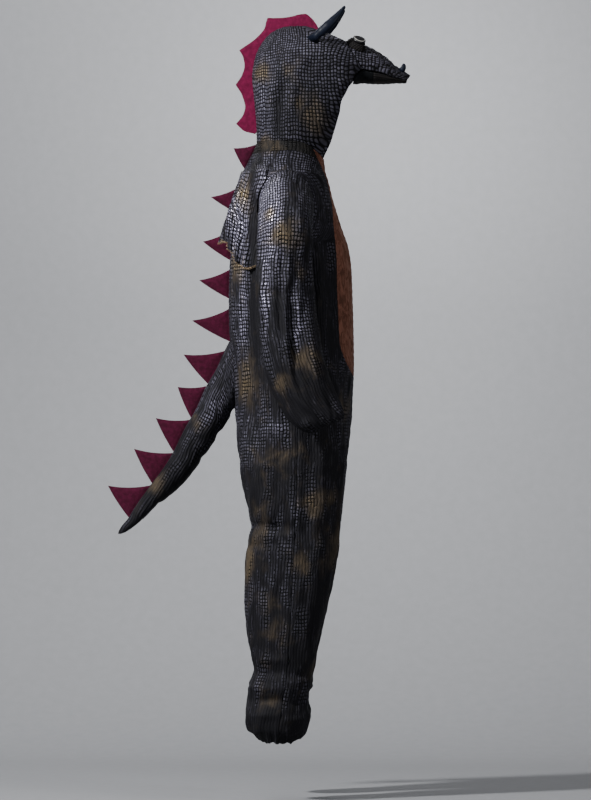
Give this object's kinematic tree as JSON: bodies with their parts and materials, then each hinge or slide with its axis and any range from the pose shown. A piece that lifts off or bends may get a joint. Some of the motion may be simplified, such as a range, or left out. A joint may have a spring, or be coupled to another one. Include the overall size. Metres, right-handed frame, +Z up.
{
  "type": "dragon onesie",
  "caption": "Hooded dragon costume jumpsuit worn hollow: snout and horns on the hood, crest and spikes down the back, stuffed tail, velour belly, gathered shoulder flaps.",
  "frame": {"origin": "midway between the wearer's shoulders, where the wearer's body holds the garment up", "axes": "+Z up, the garment's front faces -Y, the wearer's right is -X"},
  "size_m": [0.6036, 0.72, 1.743],
  "materials": {
    "scale_cloth": "black cloth embossed with shiny reptile scales, blotched with bronze",
    "belly_velour": "rust-brown crushed velour",
    "mouth_jersey": "smooth dark lining cloth",
    "lip_cloth": "tan-brown embossed cloth",
    "eye_gloss": "black plastic eye with a white ring",
    "horn_satin": "dark navy coated cloth, glossy",
    "crimson_felt": "crimson felt, padded"
  },
  "bodies": {
    "root": {"front_right": "scale_cloth", "front_left": "scale_cloth", "back_right": "scale_cloth", "back_left": "scale_cloth", "front_thigh_right": "scale_cloth", "front_thigh_left": "scale_cloth", "back_thigh_right": "scale_cloth", "back_thigh_left": "scale_cloth", "front_shin_right": "scale_cloth", "front_shin_left": "scale_cloth", "back_shin_right": "scale_cloth", "back_shin_left": "scale_cloth", "belly_right": "belly_velour", "belly_left": "belly_velour", "collar_right": "scale_cloth", "collar_left": "scale_cloth", "sleeve_outer_right": "scale_cloth", "sleeve_outer_left": "scale_cloth", "sleeve_under_right": "scale_cloth", "sleeve_under_left": "scale_cloth", "shoulder_flap_right": "scale_cloth", "shoulder_flap_left": "scale_cloth", "hood_right": "scale_cloth", "hood_left": "scale_cloth", "snout": "scale_cloth", "mouth_lining": "mouth_jersey", "lower_lip": "lip_cloth", "eye_socket_right": "scale_cloth", "eye_socket_left": "scale_cloth", "eye_right": "eye_gloss", "eye_left": "eye_gloss", "horn_right": "horn_satin", "horn_left": "horn_satin", "nostril_horn_right": "horn_satin", "nostril_horn_left": "horn_satin", "tail": "scale_cloth", "back_spike_1": "crimson_felt", "back_spike_2": "crimson_felt", "back_spike_3": "crimson_felt", "back_spike_4": "crimson_felt", "back_spike_5": "crimson_felt", "tail_spike_1": "crimson_felt", "tail_spike_2": "crimson_felt", "tail_spike_3": "crimson_felt", "tail_spike_4": "crimson_felt", "tail_spike_5": "crimson_felt", "crest": "crimson_felt"}
  },
  "joints": []
}
